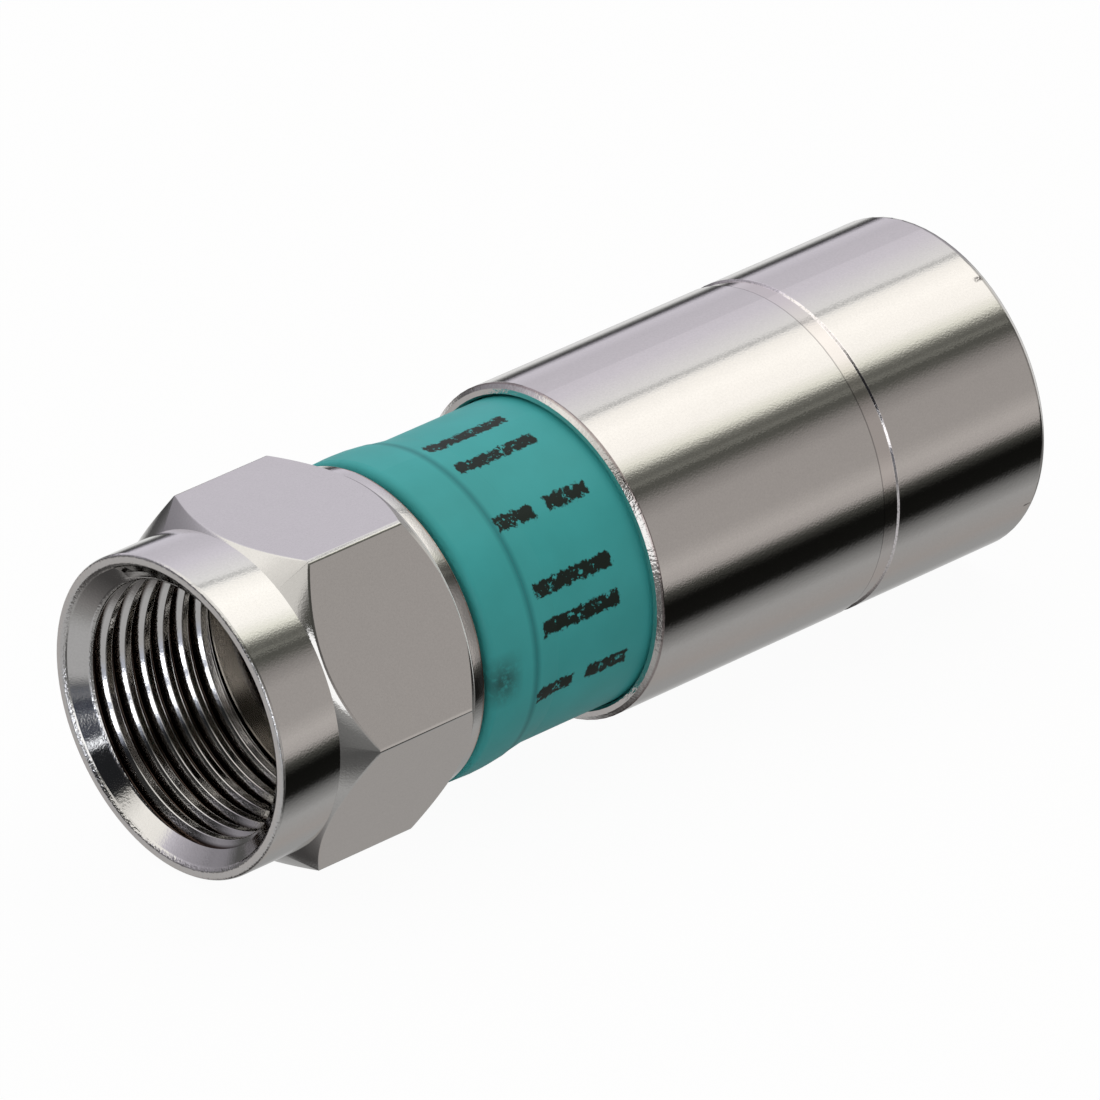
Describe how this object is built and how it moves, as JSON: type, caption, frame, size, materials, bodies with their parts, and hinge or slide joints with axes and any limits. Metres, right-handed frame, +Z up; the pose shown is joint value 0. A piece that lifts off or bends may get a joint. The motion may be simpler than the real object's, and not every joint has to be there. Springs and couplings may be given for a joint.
{
  "type": "f connector",
  "caption": "Male F connector for coaxial cable: hexagonal coupling nut, coloured plastic body with a barbed post, and a metal sleeve that slides forward to crimp the cable.",
  "frame": {"origin": "centre of the post's front face, which is the reference plane of the coupling", "axes": "+X along the cable, from the nut's mouth to the cable entry; +Z up through a flat of the nut as it lies"},
  "size_m": [0.0326, 0.0126, 0.0114],
  "materials": {
    "nickel_nut": "satin",
    "nickel_post": "satin",
    "green_plastic": "satin",
    "nickel_sleeve": "satin",
    "black_rubber": "matte"
  },
  "bodies": {
    "core": {"post": "nickel_post", "connector_body": "green_plastic", "nut_seal": "black_rubber"},
    "nut": {"coupling_nut": "nickel_nut"},
    "sleeve": {"compression_sleeve": "nickel_sleeve"}
  },
  "joints": [
    {"name": "nut_spin", "type": "hinge", "parent": "core", "child": "nut", "pos_m": [0, 0, 0], "axis": [1, 0, 0], "continuous": true},
    {"name": "sleeve_slide", "type": "slide", "parent": "core", "child": "sleeve", "axis": [-1, 0, 0], "range_m": [0, 0.004]}
  ]
}
